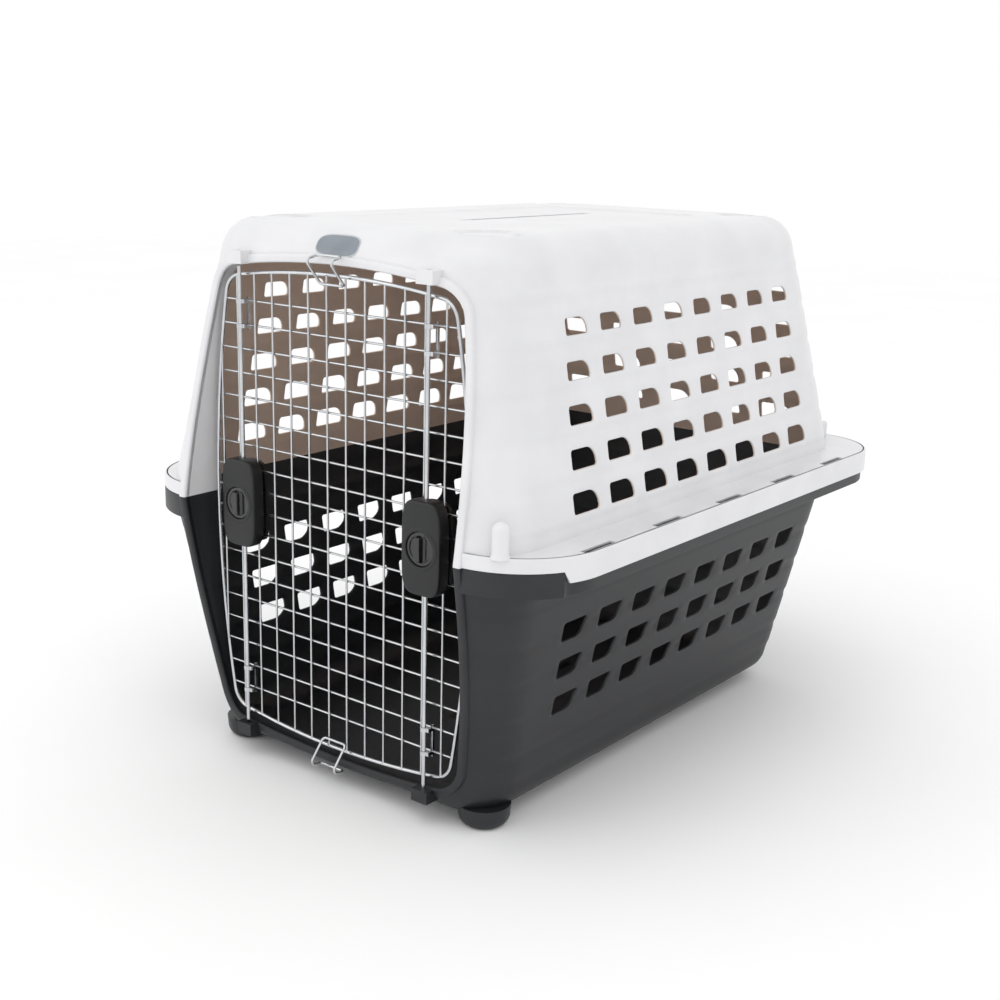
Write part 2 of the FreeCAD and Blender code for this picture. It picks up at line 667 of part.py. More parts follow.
def housing_outline(side, grow):
    """Outline of a latch housing."""
    return bowed_outline(HOUSING_HALF_W, HOUSING_HALF_W - HOUSING_BOW_X, DIAL_Z - HOUSING_HALF_H, DIAL_Z,
                         DIAL_Z + HOUSING_HALF_H, HOUSING_BOW_Z, HOUSING_CORNER_R, grow, side * ROD_X)


def screw_places(side):
    """Axes of a latch's two screws, clear of the mesh wires."""
    x = keep_off_wires(side * ROD_X + SCREW_X, upright_wires_x())
    return [(x, keep_off_wires(DIAL_Z + offset, level_wires_z())) for offset in (-SCREW_Z, SCREW_Z)]


def latch_housing(side):
    """Front housing with its dial seat, mechanism cavity, rod ways and screw holes."""
    x = side * ROD_X
    body = prism_y(housing_outline(side, 0.0), DOOR_Y - HOUSING_FRONT, DOOR_Y - HOUSING_BACK)
    rim = [e for e in body.Edges if e.BoundBox.YMax < DOOR_Y - HOUSING_FRONT + 0.01]
    body = body.makeFillet(HOUSING_EDGE_R, rim)
    land_w = CAVITY_HALF_W + PLATE_LAND
    land_h = CAVITY_HALF_H + PLATE_LAND
    cutters = [
        box(x - CAVITY_HALF_W, x + CAVITY_HALF_W, CAVITY_FRONT_Y, DOOR_Y,
            DIAL_Z - CAVITY_HALF_H, DIAL_Z + CAVITY_HALF_H),
        box(x - land_w, x + land_w, PLATE_FRONT_Y, DOOR_Y, DIAL_Z - land_h, DIAL_Z + land_h),
        cylinder_y(x, DIAL_Z, DOOR_Y - FLANGE, DIAL_SEAT_Y, DIAL_R + DIAL_GAP),
        cylinder_y(x, DIAL_Z, DOOR_Y - FLANGE, DOOR_Y, SHAFT_R + RUNNING),
        cylinder_z(x, ROD_Y, DIAL_Z - FAR, DIAL_Z + FAR, ROD_R + RUNNING),
    ]
    for screw_x, screw_z in screw_places(side):
        cutters.append(cylinder_y(screw_x, screw_z, DOOR_Y - SCREW_BITE, DOOR_Y, SCREW_R + SCREW_GAP))
    return body.cut(cutters)


def latch_inner_plate(side):
    """Thin plate that closes the cavity and carries the shaft's end."""
    x = side * ROD_X
    half_w = CAVITY_HALF_W + PLATE_LAND - PLATE_GAP
    half_h = CAVITY_HALF_H + PLATE_LAND - PLATE_GAP
    plate = box(x - half_w, x + half_w, PLATE_FRONT_Y, PLATE_FRONT_Y + PLATE_T, DIAL_Z - half_h, DIAL_Z + half_h)
    return plate.cut(cylinder_y(x, DIAL_Z, DOOR_Y - FLANGE, DOOR_Y, JOURNAL_R + RUNNING))


def latch_back_plate(side):
    """Plate behind the mesh that the screws pull against."""
    plate = prism_y(housing_outline(side, -BACK_PLATE_INSET), DOOR_Y + HOUSING_BACK,
                    DOOR_Y + HOUSING_BACK + BACK_PLATE_T)
    holes = [cylinder_y(x, z, DOOR_Y, DOOR_Y + FLANGE, SCREW_R + SCREW_GAP) for x, z in screw_places(side)]
    return plate.cut(holes)


def latch_screws():
    """Screws from the back plates into the housings."""
    seat = DOOR_Y + HOUSING_BACK + BACK_PLATE_T
    screws = []
    for side in (-1, 1):
        for x, z in screw_places(side):
            shank = cylinder_y(x, z, DOOR_Y - SCREW_BITE + DIAL_GAP, seat, SCREW_R)
            screws.append(shank.fuse(cylinder_y(x, z, seat, seat + SCREW_HEAD_H, SCREW_HEAD_R)))
    return Part.makeCompound(screws)


def dial(side):
    """Round dial with an upright grip and the shaft that drives the pinion."""
    x = side * ROD_X
    seat = DIAL_SEAT_Y - DIAL_GAP
    disc = cylinder_y(x, DIAL_Z, seat - DIAL_T, seat, DIAL_R)
    half_l = GRIP_L / 2.0
    front = seat - DIAL_T - GRIP_H
    grip = box(x - GRIP_W / 2.0, x + GRIP_W / 2.0, front, seat, DIAL_Z - half_l, DIAL_Z + half_l)
    ends = [e for e in grip.Edges if e.BoundBox.ZLength < 0.01 and e.BoundBox.YMax < front + 0.01]
    grip = grip.makeFillet(GRIP_END_R, ends)
    shaft = cylinder_y(x, DIAL_Z, seat, MECH_BACK_Y, SHAFT_R)
    journal = cylinder_y(x, DIAL_Z, MECH_BACK_Y, PLATE_FRONT_Y + PLATE_T, JOURNAL_R)
    return disc.fuse([grip, shaft, journal])


def involute(angle):
    """The involute function."""
    return math.tan(angle) - angle


def pinion_profile():
    """Corners of the pinion's outline, each flank an involute above the base circle."""
    base_r = PITCH_R * math.cos(PRESSURE_ANGLE)
    half_pitch = (math.pi * MODULE / 2.0 - BACKLASH / 2.0) / 2.0 / PITCH_R
    tip_r = PITCH_R + ADDENDUM
    radii = [base_r + (tip_r - base_r) * k / (FLANK_POINTS - 1) for k in range(FLANK_POINTS)]
    flank = [(r, half_pitch + involute(PRESSURE_ANGLE) - involute(math.acos(base_r / r))) for r in radii]
    flank.insert(0, (PITCH_R - DEDENDUM, flank[0][1]))
    corners = []
    for tooth in range(TEETH):
        centre = 2.0 * math.pi * tooth / TEETH
        corners += [(r, centre - a) for r, a in flank]
        corners += [(r, centre + a) for r, a in reversed(flank)]
    return corners


def pinion(side):
    """The pinion on the dial's shaft, with a tooth pointing at each rack."""
    x = side * ROD_X
    points = [Vector(x + r * math.cos(a), MECH_FRONT_Y, DIAL_Z + r * math.sin(a)) for r, a in pinion_profile()]
    face = Part.Face(Part.makePolygon(points + points[:1]))
    wheel = face.extrude(Vector(0, MECH_T, 0))
    return wheel.cut(cylinder_y(x, DIAL_Z, MECH_FRONT_Y - 1.0, MECH_BACK_Y + 1.0, SHAFT_R))


def rack(side, upper):
    """A toothed bar beside the pinion with a foot across to the rod, at its rest position."""
    shift = 0.0 if side > 0 else -TRAVEL
    low = -RACK_TAIL + shift
    high = FOOT_START + FOOT_LEN + shift
    pitch = math.pi * MODULE
    half = (math.pi * MODULE / 2.0 - BACKLASH / 2.0) / 2.0
    tip_half = half - ADDENDUM * math.tan(PRESSURE_ANGLE)
    root_half = half + DEDENDUM * math.tan(PRESSURE_ANGLE)
    root_x = -(PITCH_R + DEDENDUM)
    tip_x = -(PITCH_R - ADDENDUM)
    back_x = root_x - RACK_BACK
    outline = [(back_x, low), (root_x, low)]
    first = math.ceil((low + root_half) / pitch - 0.5)
    last = math.floor((FOOT_START + shift - root_half) / pitch - 0.5)
    for index in range(first, last + 1):
        z = (index + 0.5) * pitch
        outline += [(root_x, z - root_half), (tip_x, z - tip_half), (tip_x, z + tip_half), (root_x, z + root_half)]
    foot_z = FOOT_START + shift
    outline += [(root_x, foot_z), (FOOT_PAST, foot_z), (FOOT_PAST, high), (back_x, high)]
    turn = 1.0 if upper else -1.0
    x = side * ROD_X
    points = [Vector(x + turn * px, MECH_FRONT_Y, DIAL_Z + turn * pz) for px, pz in outline]
    bar = Part.Face(Part.makePolygon(points + points[:1])).extrude(Vector(0, MECH_T, 0))
    return bar.cut(rod(side, upper))


def rod(side, upper):
    """A latch rod from its rack's foot to the end that enters the socket, at its rest position."""
    shift = 0.0 if side > 0 else -TRAVEL
    inner = FOOT_START + shift + 1.0
    if upper:
        z0 = DIAL_Z + inner
        z1 = arch_z(ROD_X, True) + ROD_ENGAGE + shift
    else:
        z0 = arch_z(ROD_X, False) - ROD_ENGAGE - shift
        z1 = DIAL_Z - inner
    return cylinder_z(side * ROD_X, ROD_Y, z0, z1, ROD_R)


def parts():
    """Every sub-part by node name."""
    nodes = {
        "bottom_shell": bottom_shell(),
        "top_shell": top_shell(),
        "front_label": front_label(),
        "door_frame_wire": door_frame_wire(),
        "door_vertical_wires": door_vertical_wires(),
        "door_horizontal_wires": door_horizontal_wires(),
        "top_hook": hook(True),
        "bottom_hook": hook(False),
        "rod_guides": rod_guides(),
        "latch_screws": latch_screws(),
    }
    for name, side in (("left", -1), ("right", 1)):
        nodes[name + "_latch_housing"] = latch_housing(side)
        nodes[name + "_latch_inner_plate"] = latch_inner_plate(side)
        nodes[name + "_latch_back_plate"] = latch_back_plate(side)
        nodes[name + "_dial"] = dial(side)
        nodes[name + "_pinion"] = pinion(side)
        for end, upper in (("upper", True), ("lower", False)):
            nodes[name + "_" + end + "_rod"] = rod(side, upper)
            nodes[name + "_" + end + "_rack"] = rack(side, upper)
    return nodes


os.makedirs("parts", exist_ok=True)
for node, shape in parts().items():
    shape.exportStep("parts/" + node + ".step")
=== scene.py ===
"""Pet transport carrier: two moulded tubs, a welded wire door and two dial latches.

Sizes in millimetres until a mesh is made; the frame is the CAD's: floor at z 0, door towards -Y.
"""
import math
import bpy
import numpy as np
from mathutils import Matrix, Vector
from mathutils.geometry import delaunay_2d_cdt


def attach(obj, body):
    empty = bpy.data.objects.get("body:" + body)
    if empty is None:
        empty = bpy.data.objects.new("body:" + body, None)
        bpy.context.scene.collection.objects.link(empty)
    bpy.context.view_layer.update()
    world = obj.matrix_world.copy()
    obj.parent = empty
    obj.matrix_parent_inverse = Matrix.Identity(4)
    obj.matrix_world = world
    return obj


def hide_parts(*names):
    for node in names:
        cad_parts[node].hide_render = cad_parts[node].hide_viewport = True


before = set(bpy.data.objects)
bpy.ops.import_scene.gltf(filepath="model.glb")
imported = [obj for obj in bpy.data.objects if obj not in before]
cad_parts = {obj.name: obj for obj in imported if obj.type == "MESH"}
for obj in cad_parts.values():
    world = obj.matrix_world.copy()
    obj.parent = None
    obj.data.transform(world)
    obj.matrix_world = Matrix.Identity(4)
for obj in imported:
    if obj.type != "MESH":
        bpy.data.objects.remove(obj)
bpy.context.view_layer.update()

# ---- 1. The lower tub ---------------------------------------------------------------------------
# The real piece is one injection moulding in charcoal polypropylene: drafted walls 3 mm thick with
# shallow level bands, a floor on four round feet, vents in both sides, an outward flange with a
# turned-down lip, snap tabs, and the lower half of the door frame. It stands loose on the floor.
PARTING_Z = 286.0
HALF_WALL = 240.0           # at the parting plane, over the walls
FRONT_Y = -364.0
REAR_Y = 327.5
CORNER_R = 56.0
WALL = 3.0
SIDE_DRAFT = math.tan(math.radians(10.0))
FRONT_DRAFT = math.tan(math.radians(7.8))
LEAN = math.radians(9.0)    # angle at which the walls meet the rounded edge of roof or floor
FLOOR_Z = 12.0
FLOOR_EDGE_R = 30.0
ROOF_Z = 578.0
ROOF_EDGE_R = 40.0
STEPS = np.array([184.0, 88.0, 579.5, 88.0, 184.0])     # front half, corner, side, corner, rear half
MARKS = np.concatenate([[0.0], np.cumsum(STEPS)])
HALF_LOOP = MARKS[-1]
SEAM = MARKS[2] + 30.0      # the sheet's own seam, on a side wall ahead of the vents
BAND_PITCH = 41.4
BAND_DEPTH = 1.0
VENT_EDGE_R = 1.1
CLEAR_OF_VENT = 3.4         # the wall's own points stop this far from a vent
VENT_ROWS = {               # start y, column pitch, height, width, depth of each row's vents
    False: [(-247.0 + 4.2 * k, (438.5 - 8.4 * k) / 7.0, 210.0 - 41.4 * k, 38.0, 20.0) for k in range(3)],
    True: [(-247.0 + 4.2 * k, (434.5 - 8.4 * k + 1.75 * k) / 7.0, 319.5 + 41.4 * k,
            42.0 - 1.75 * k, 20.0 - k) for k in range(5)],
}


def smooth(low, high, value):
    """0 below low and 1 above high, with 3u^2 - 2u^3 between, u being the share of the way."""
    u = np.clip((value - low) / (high - low), 0.0, 1.0)
    return u * u * (3.0 - 2.0 * u)


def bands(s, t, upper):
    """Relief of the level bands: a wave in t with flat crests and smooth steps, fading to nothing at
    the front posts, the rim at the parting plane and the rounded edge."""
    first = 33.5 if upper else 55.5
    phase = np.mod(t - first + 8.0, BAND_PITCH)
    wave = smooth(0.0, 5.0, phase) - smooth(32.0, 37.0, phase)
    around = smooth(MARKS[1] + 6.0, MARKS[2] - 6.0, s)
    last = 246.0 if upper else 240.0
    return -BAND_DEPTH * wave * around * smooth(14.0, 24.0, t) * (1.0 - smooth(last - 8.0, last, t))


def tub_ring(s, t, inset, upper):
    """Half width, front y, rear y, corner radius and height at t: the wall leans in by its draft, then
    a quarter round of the edge radius leads into the flat, whose rings shrink to its middle line."""
    edge_r = ROOF_EDGE_R if upper else FLOOR_EDGE_R
    whole = abs((ROOF_Z if upper else FLOOR_Z) - PARTING_Z)
    wall_t = whole - edge_r * (1.0 - math.sin(LEAN))
    rise = np.minimum(t, wall_t)
    turn = LEAN + np.clip((t - wall_t) / edge_r, 0.0, math.pi / 2.0 - LEAN)
    extra = edge_r * math.cos(LEAN) - (edge_r - inset) * np.cos(turn) + bands(s, t, upper)
    height = np.where(t <= wall_t, rise * (1.0 - inset * math.sin(LEAN) / wall_t),
                      whole - edge_r + (edge_r - inset) * np.sin(turn))
    half = HALF_WALL - rise * SIDE_DRAFT - extra
    flat = np.clip((t - wall_t - edge_r * (math.pi / 2.0 - LEAN)) / 150.0, 0.0, 1.0)
    front = FRONT_Y + rise * FRONT_DRAFT + extra + half * flat
    rear = REAR_Y - rise * SIDE_DRAFT - extra - half * flat
    radius = (CORNER_R - extra) * (1.0 - flat)
    return half * (1.0 - flat), front, rear, radius, height


def tub_rows(upper):
    """The t of each row of points: close on the wall, twelve round the edge, wider on the flat."""
    edge_r = ROOF_EDGE_R if upper else FLOOR_EDGE_R
    whole = abs((ROOF_Z if upper else FLOOR_Z) - PARTING_Z)
    wall_t = whole - edge_r * (1.0 - math.sin(LEAN))
    edge_t = wall_t + edge_r * (math.pi / 2.0 - LEAN)
    wall = np.linspace(0.0, wall_t, int(wall_t / 3.2))
    edge = np.linspace(wall_t, edge_t, 13)[1:]
    near = edge_t + np.arange(3.0, 96.0, 3.0)
    return np.concatenate([wall, edge, near, edge_t + np.linspace(105.0, 150.0, 6)])


def tub_place(s, t, inset, upper):
    """Point of a tub's skin: s runs round the ring at t from the middle of the front, as a straight,
    a quarter round, a straight, a quarter round and a straight, mirrored on the left side."""
    loop = np.mod(s, 2.0 * HALF_LOOP)
    left = loop > HALF_LOOP
    along = np.where(left, 2.0 * HALF_LOOP - loop, loop)
    half, front, rear, radius, height = tub_ring(along, t, inset, upper)
    share = [np.clip((along - MARKS[k]) / STEPS[k], 0.0, 1.0) for k in range(5)]
    quarter = math.pi / 2.0
    x = (half - radius) * (share[0] - share[4])
    x += radius * (np.sin(quarter * share[1]) - 1.0 + np.cos(quarter * share[3]))
    y = front + radius * (1.0 - np.cos(quarter * share[1]) + np.sin(quarter * share[3]))
    y += (rear - front - 2.0 * radius) * share[2]
    z = PARTING_Z + height if upper else PARTING_Z - height
    return np.stack([np.where(left, -x, x), y, z], axis=-1)


def side_to_sheet(y, z, side, upper):
    """s and t of a point of a side wall from its y and z, by the share of the straight it is along."""
    t = np.abs(z - PARTING_Z)
    half, front, rear, radius, height = tub_ring(np.zeros_like(t), t, 0.0, upper)
    s = MARKS[2] + STEPS[2] * (y - front - radius) / (rear - front - 2.0 * radius)
    return np.stack([s if side > 0 else 2.0 * HALF_LOOP - s, t], axis=-1)


def rear_to_sheet(x, z, upper):
    """s and t of a point of the rear wall from its x and z."""
    t = np.abs(z - PARTING_Z)
    half, front, rear, radius, height = tub_ring(np.zeros_like(t), t, 0.0, upper)
    return np.stack([HALF_LOOP - STEPS[4] * x / (half - radius), t], axis=-1)


def front_to_sheet(x, z, upper):
    """s and t of a point of the front, its posts included, from its x and z."""
    edge_r = ROOF_EDGE_R if upper else FLOOR_EDGE_R
    whole = abs((ROOF_Z if upper else FLOOR_Z) - PARTING_Z)
    wall_t = whole - edge_r * (1.0 - math.sin(LEAN))
    rise = np.abs(z - PARTING_Z)
    turn = np.arcsin(np.clip((rise - whole + edge_r) / edge_r, math.sin(LEAN), 1.0))
    t = np.where(rise <= wall_t, rise, wall_t + edge_r * (turn - LEAN))
    half, front, rear, radius, height = tub_ring(np.zeros_like(t), t, 0.0, upper)
    over = np.clip((np.abs(x) - half + radius) / radius, 0.0, 1.0)
    s = STEPS[0] * np.minimum(np.abs(x) / (half - radius), 1.0)
    s = s + STEPS[1] * np.arcsin(over) / (math.pi / 2.0)
    return np.stack([np.sign(x) * s, t], axis=-1)


def vent_loop(start, z, width, depth, grow, upper):
    """Outline of a vent: a rectangle whose corners are quarter rounds, 3 mm at three of them and 0.8 of
    the depth at the rear one away from the parting plane; grow moves it outward."""
    way = 1.0 if upper else -1.0
    radii = np.array([3.0, 3.0, 0.8 * depth, 3.0])
    corner = np.array([[0.0, 0.0], [width, 0.0], [width, depth], [0.0, depth]])
    sign = np.array([[1, 1], [-1, 1], [-1, -1], [1, -1]])
    angle = np.radians(np.array([180.0, 270.0, 0.0, 90.0]))[:, None] + np.linspace(0.0, math.pi / 2.0, 6)
    centre = corner + sign * radii[:, None]
    reach = (radii + grow)[:, None]
    y = centre[:, :1] + reach * np.cos(angle)
    up = centre[:, 1:] + reach * np.sin(angle)
    return start + y.ravel(), z + way * up.ravel()


def inside(points, loop):
    """Whether each point lies in the loop: an odd number of its edges cross the ray towards +x."""
    a = loop
    b = np.roll(loop, -1, axis=0)
    hit = np.zeros(len(points), bool)
    box = np.all((points > loop.min(0)) & (points < loop.max(0)), axis=1)
    p = points[box]
    up = (a[None, :, 1] > p[:, None, 1]) != (b[None, :, 1] > p[:, None, 1])
    rise = np.where(a[:, 1] == b[:, 1], 1.0, b[:, 1] - a[:, 1])
    cross = a[:, 0] + (p[:, None, 1] - a[:, 1]) * (b[:, 0] - a[:, 0]) / rise
    hit[box] = np.sum(up & (p[:, None, 0] < cross), axis=1) % 2 == 1
    return hit


def sheet(free, loops, holes, outline=None):
    """Triangles between points of the plane: a Delaunay net kept to the loops' edges, without the
    triangles whose centre lies in a hole or outside the outline."""
    points = np.concatenate([free] + loops)
    count = len(free)
    edges = []
    for loop in loops:
        index = count + np.arange(len(loop))
        edges += np.stack([index, np.roll(index, -1)], axis=1).tolist()
        count += len(loop)
    made = delaunay_2d_cdt([Vector(p) for p in points.tolist()], edges, [], 0, 1e-6)
    flat = np.array([tuple(v) for v in made[0]])
    tris = np.array(made[2])
    centre = flat[tris].mean(axis=1)
    keep = np.ones(len(tris), bool)
    for hole in holes:
        keep &= ~inside(centre, hole)
    if outline is not None:
        keep &= inside(centre, outline)
    return flat, tris[keep]


def shell(outer, inner, tris):
    """A closed wall: the outer sheet, the inner sheet turned round, and a strip along each edge that
    only one triangle uses. Returns points, triangles and a flag for those not on the outer sheet."""
    n = len(outer)
    sides = np.concatenate([tris[:, [0, 1]], tris[:, [1, 2]], tris[:, [2, 0]]])
    code = sides[:, 0].astype(np.int64) * n + sides[:, 1]
    back = sides[:, 1].astype(np.int64) * n + sides[:, 0]
    rim = sides[~np.isin(code, back)]
    a, b = rim[:, 0], rim[:, 1]
    strip = np.concatenate([np.stack([a, a + n, b + n], 1), np.stack([a, b + n, b], 1)])
    faces = np.concatenate([tris, tris[:, ::-1] + n, strip])
    flag = np.concatenate([np.zeros(len(tris), int), np.ones(len(tris) + len(strip), int)])
    return np.concatenate([outer, inner]), faces, flag


def weld(points, faces, flag):
    """Points closer than 0.002 mm become one, triangles that lose a corner go, and the whole is turned
    outward: the sum of the signed volumes over the origin is positive."""
    key = np.round(points / 0.002).astype(np.int64)
    low = key.min(0)
    span = key.max(0) - low + 1
    code = ((key[:, 0] - low[0]) * span[1] + key[:, 1] - low[1]) * span[2] + key[:, 2] - low[2]
    first, where = np.unique(code, return_index=True, return_inverse=True)[1:]
    points = points[first]
    faces = where.reshape(-1)[faces]
    whole = (faces[:, 0] != faces[:, 1]) & (faces[:, 1] != faces[:, 2]) & (faces[:, 2] != faces[:, 0])
    faces, flag = faces[whole], flag[whole]
    p = points[faces] - points.mean(0)
    if np.einsum("ij,ij->", p[:, 0], np.cross(p[:, 1], p[:, 2])) < 0.0:
        faces = faces[:, ::-1]
    return points, faces, flag


def net(rows, columns, ring):
    """Triangles of a grid of points, two to a cell, the columns closed into a ring or not."""
    i, j = np.meshgrid(np.arange(rows - 1), np.arange(columns if ring else columns - 1), indexing="ij")
    a = i * columns + j
    b = i * columns + (j + 1) % columns
    c, d = b + columns, a + columns
    return np.concatenate([np.stack([a, b, c], -1).reshape(-1, 3), np.stack([a, c, d], -1).reshape(-1, 3)])


def swept(rings):
    """A closed profile carried along an open path: the grid of its rings, and a fan to the middle of
    the first and the last ring."""
    rows, columns = rings.shape[:2]
    points = np.concatenate([rings.reshape(-1, 3), rings[0].mean(0)[None], rings[-1].mean(0)[None]])
    j = np.arange(columns)
    after = (j + 1) % columns
    start = np.stack([np.full(columns, rows * columns), after, j], 1)
    last = (rows - 1) * columns
    end = np.stack([np.full(columns, rows * columns + 1), last + j, last + after], 1)
    faces = np.concatenate([net(rows, columns, True), start, end])
    return weld(points, faces, np.zeros(len(faces), int))


def turned(radius, z, x, y):
    """A profile of radius and height turned round an upright axis at x, y, closed at both ends."""
    angle = np.linspace(0.0, 2.0 * math.pi, 49)[:-1]
    radius, z = np.array(radius)[:, None], np.array(z)[:, None]
    points = np.stack([x + radius * np.cos(angle), y + radius * np.sin(angle), z + 0.0 * angle], -1)
    faces = net(len(radius), len(angle), True)
    return weld(points.reshape(-1, 3), faces, np.zeros(len(faces), int))


def rounded_block(low, high, radius):
    """A box with round edges: points of a unit sphere's grid, times the radius, each added to the
    nearest corner of the box that is the radius smaller all round."""
    low, high = np.array(low), np.array(high)
    up = np.linspace(-math.pi / 2.0, math.pi / 2.0, 17)[:, None] + 1e-9
    around = np.linspace(0.0, 2.0 * math.pi, 33)[:-1] + 1e-9
    unit = np.stack([np.cos(up) * np.cos(around), np.cos(up) * np.sin(around),
                     np.sin(up) + 0.0 * around], -1)
    mid, room = (low + high) / 2.0, (high - low) / 2.0 - radius
    unit = np.concatenate([unit[:8], unit[8:9] * [1, 1, 0] - [0, 0, 1e-9], unit[8:]])
    points = (mid + np.sign(np.round(unit, 12)) * room + unit * radius).reshape(-1, 3)
    faces = net(unit.shape[0], unit.shape[1], True)
    return weld(points, faces, np.zeros(len(faces), int))


def tub_shell(upper):
    """One tub's wall with its vents and the way in cut through it. A point within a vent's edge radius
    sinks into the wall, so each vent has a rounded edge on both sides."""
    half = np.concatenate([np.linspace(MARKS[k], MARKS[k + 1], n + 1)[:-1]
                           for k, n in enumerate((16, 10, 52, 10, 16))] + [[HALF_LOOP]])
    columns = np.unique(np.round(np.concatenate([half, 2.0 * HALF_LOOP - half]), 6))
    columns = np.where(columns > 2.0 * HALF_LOOP - SEAM, columns - 2.0 * HALF_LOOP, columns)
    columns = np.unique(np.concatenate([columns, [-SEAM, 2.0 * HALF_LOOP - SEAM]]))
    rows = tub_rows(upper)
    grid = np.stack(np.meshgrid(columns, rows), -1).reshape(-1, 2)
    loops, sunk, holes = [], [], []
    for y, pitch, z, width, depth in VENT_ROWS[upper]:
        ways = [(side, y + pitch * k) for k in range(8) for side in (1, -1)]
        if upper:
            room = 340.0 - width
            ways += [(0, -room / 2.0 + room * k / 4.0 - width / 2.0) for k in range(5)]
        for side, start in ways:
            for grow in (VENT_EDGE_R, 0.35 * VENT_EDGE_R, 0.0):
                a, b = vent_loop(start, z, width, depth, grow, upper)
                loop = side_to_sheet(a, b, side, upper) if side else rear_to_sheet(a, b, upper)
                loops.append(loop)
                sunk.append(np.full(len(loop), {VENT_EDGE_R: 0.0, 0.0: VENT_EDGE_R}.get(grow, 0.3)))
            holes.append(loop)
            low, high = loop.min(0) - CLEAR_OF_VENT, loop.max(0) + CLEAR_OF_VENT
            grid = grid[~np.all((grid > low) & (grid < high), axis=1)]
    way_in = doorway_sheet(5.0, upper)
    near = doorway_sheet(9.0, upper)
    grid = grid[~inside(grid, near)]
    loops.append(way_in)
    sunk.append(np.zeros(len(way_in)))
    holes.append(way_in)
    flat, tris = sheet(grid, loops, holes)
    depth = np.concatenate([np.zeros(len(grid))] + sunk)
    keep = flat[tris].min(axis=1)[:, 1] >= -1e-6
    tris = tris[keep]
    outer = tub_place(flat[:, 0], flat[:, 1], depth[:len(flat)], upper)
    inner = tub_place(flat[:, 0], flat[:, 1], WALL - depth[:len(flat)], upper)
    if upper:
        outer[:, 2] -= roof_relief(outer)
        inner[:, 2] -= roof_relief(inner)
    seam = np.abs(flat[:, 0] - (2.0 * HALF_LOOP - SEAM)) < 1e-6
    start = np.abs(flat[:, 0] + SEAM) < 1e-6
    index = np.arange(len(flat))
    seam_points = np.flatnonzero(seam)[np.argsort(flat[seam, 1])]
    index[seam_points] = np.flatnonzero(start)[np.argsort(flat[start, 1])]
    return shell_welded(outer, inner, index[tris])


def shell_welded(outer, inner, tris):
    """A closed wall, welded."""
    points, faces, flag = shell(outer, inner, tris)
    return weld(points, faces, flag)


# The doorway: two side arcs with a 24 mm bow, a top and a bottom arc with a 13 mm bow, 32 mm corners.
SIDE_ARC = ((242.0 ** 2 + 24.0 ** 2) / 48.0, 184.0)     # radius, and where it crosses the parting plane
END_ARC = ((160.0 ** 2 + 13.0 ** 2) / 26.0, 255.0)      # radius, and its crown above the parting plane
DOORWAY_CORNER = 32.0


def doorway_path(upper):
    """Half the doorway from the left post over the middle to the right post, as points and outward
    directions in x and z. Its corner rounds touch both arcs: their centre is a corner radius nearer
    to each arc's centre than the arc."""
    side_r, side_x = SIDE_ARC
    end_r, end_z = END_ARC
    a = np.array([side_x - side_r, 0.0])
    b = np.array([0.0, end_z - end_r])
    ra, rb = side_r - DOORWAY_CORNER, end_r - DOORWAY_CORNER
    gap = b - a
    d = np.linalg.norm(gap)
    along = (ra * ra - rb * rb + d * d) / (2.0 * d)
    off = math.sqrt(ra * ra - along * along)
    c = a + gap / d * along + np.array([-gap[1], gap[0]]) / d * off
    low = math.atan2(c[1] - a[1], c[0] - a[0])
    high = math.atan2(c[1] - b[1], c[0] - b[0])
    quarter = math.pi / 2.0
    angle = np.concatenate([np.linspace(0.0, low, 40)[:-1], np.linspace(low, high, 16)[:-1],
                            np.linspace(high, quarter, 28)])
    zero = np.zeros(len(angle))
    centre = np.select([np.stack([angle < low, zero < 1], -1).all(-1)[:, None], (angle < high)[:, None]],
                       [zero[:, None] + a, zero[:, None] + c], zero[:, None] + b)
    radius = np.select([angle < low, angle < high], [side_r, DOORWAY_CORNER], end_r)
    out = np.stack([np.cos(angle), np.sin(angle)], -1)
    right = centre + radius[:, None] * out
    points = np.concatenate([right * [-1, 1], right[-2::-1]])
    out = np.concatenate([out * [-1, 1], out[-2::-1]])
    way = np.array([1.0, 1.0 if upper else -1.0])
    return points * way + [0.0, PARTING_Z], out * way


def doorway_sheet(grow, upper):
    """The doorway's grown outline in s and t, closed below the tub's edge."""
    points, out = doorway_path(upper)
    loop = front_to_sheet(points[:, 0] + grow * out[:, 0], points[:, 1] + grow * out[:, 1], upper)
    loop[0, 1] = loop[-1, 1] = 0.0
    return np.concatenate([loop, [[loop[-1, 0], -20.0], [loop[0, 0], -20.0]]])


def front_skin(x, z, upper):
    """y of the front's outer face at x and z, posts and rounded edge included."""
    place = front_to_sheet(x, z, upper)
    return tub_place(place[:, 0], place[:, 1], 0.0, upper)[:, 1]


JAMB_END = -315.5
ROD_X, ROD_Y, ROD_HOLE = 126.0, -335.25, 2.3
RIM = np.array([[9.0, 3.2], [9.0, -1.6], [8.6, -2.7], [7.6, -3.4], [6.0, -3.6], [2.6, -3.6],
                [1.2, -3.2], [0.3, -2.2], [0.0, -0.8], [0.0, 3.2]])


def doorway_rim(upper):
    """The bead round the way in: the RIM profile, outward from the edge and back from the skin."""
    points, out = doorway_path(upper)
    x = points[:, :1] + out[:, :1] * RIM[:, 0]
    z = points[:, 1:] + out[:, 1:] * RIM[:, 0]
    skin = front_skin(points[:, 0] + 5.0 * out[:, 0], points[:, 1] + 5.0 * out[:, 1], upper)
    y = skin[:, None] + RIM[:, 1]
    return swept(np.stack([x, y, z], -1))


